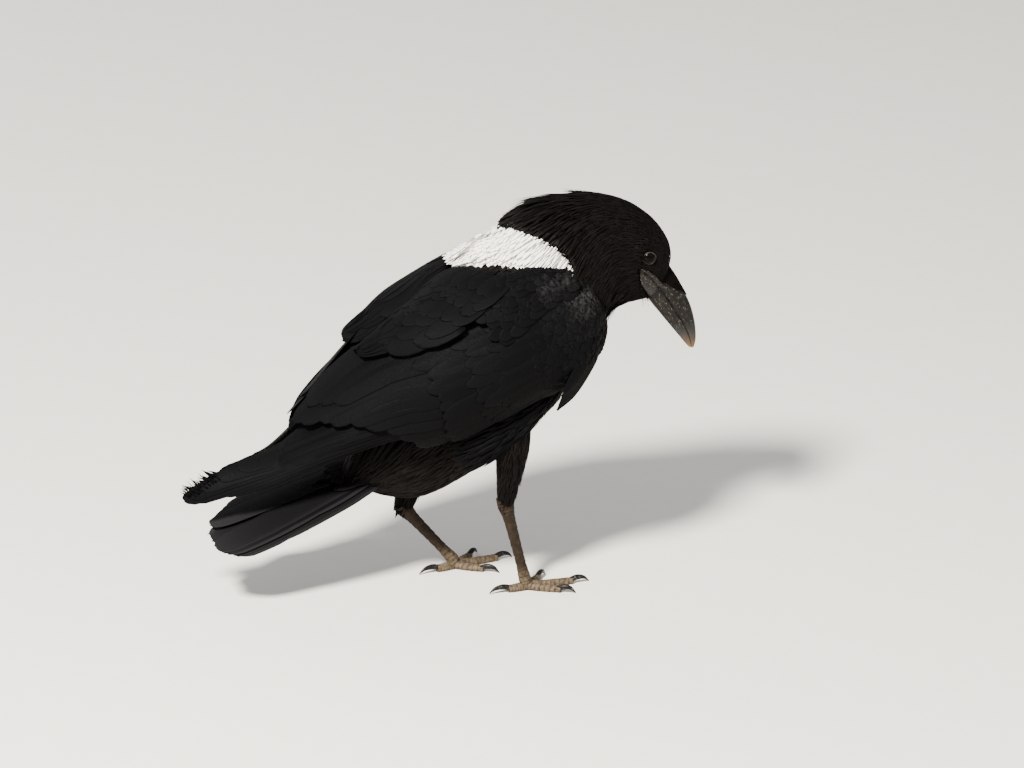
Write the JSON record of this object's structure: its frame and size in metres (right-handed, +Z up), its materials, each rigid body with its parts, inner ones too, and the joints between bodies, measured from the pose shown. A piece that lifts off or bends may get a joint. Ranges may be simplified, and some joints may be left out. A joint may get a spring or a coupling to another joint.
{
  "type": "pied crow model",
  "caption": "Life-size still model of a standing pied crow with folded wings, bent head and stout bill, for a museum display.",
  "frame": {"origin": "middle of the base of the bounding box, on the floor the feet stand on", "axes": "+X towards the bill, +Y the bird's left side, +Z up"},
  "size_m": [0.3738, 0.139, 0.2827],
  "materials": {
    "black_feather": "soft black feathers with a faint sheen",
    "white_feather": "matt white feathers",
    "horn": "dark horn, worn paler at the tip",
    "leg_scale": "dark scaled skin, dusty at the toes",
    "eye": "wet dark brown"
  },
  "bodies": {
    "root": {"head": "black_feather", "neck": "black_feather", "trunk": "black_feather", "thigh_right": "black_feather", "thigh_left": "black_feather", "tail": "black_feather", "wing_right": "black_feather", "secondaries_right": "black_feather", "primaries_right": "black_feather", "alula_right": "black_feather", "scapulars_right": "black_feather", "wing_left": "black_feather", "secondaries_left": "black_feather", "primaries_left": "black_feather", "alula_left": "black_feather", "scapulars_left": "black_feather", "breast_and_collar": "white_feather", "bill_upper": "horn", "bill_lower": "horn", "claw_right_1": "horn", "claw_right_2": "horn", "claw_right_3": "horn", "claw_right_4": "horn", "eye_right": "eye", "tarsus_right": "leg_scale", "foot_right": "leg_scale", "claw_left_1": "horn", "claw_left_2": "horn", "claw_left_3": "horn", "claw_left_4": "horn", "eye_left": "eye", "tarsus_left": "leg_scale", "foot_left": "leg_scale"}
  },
  "joints": []
}
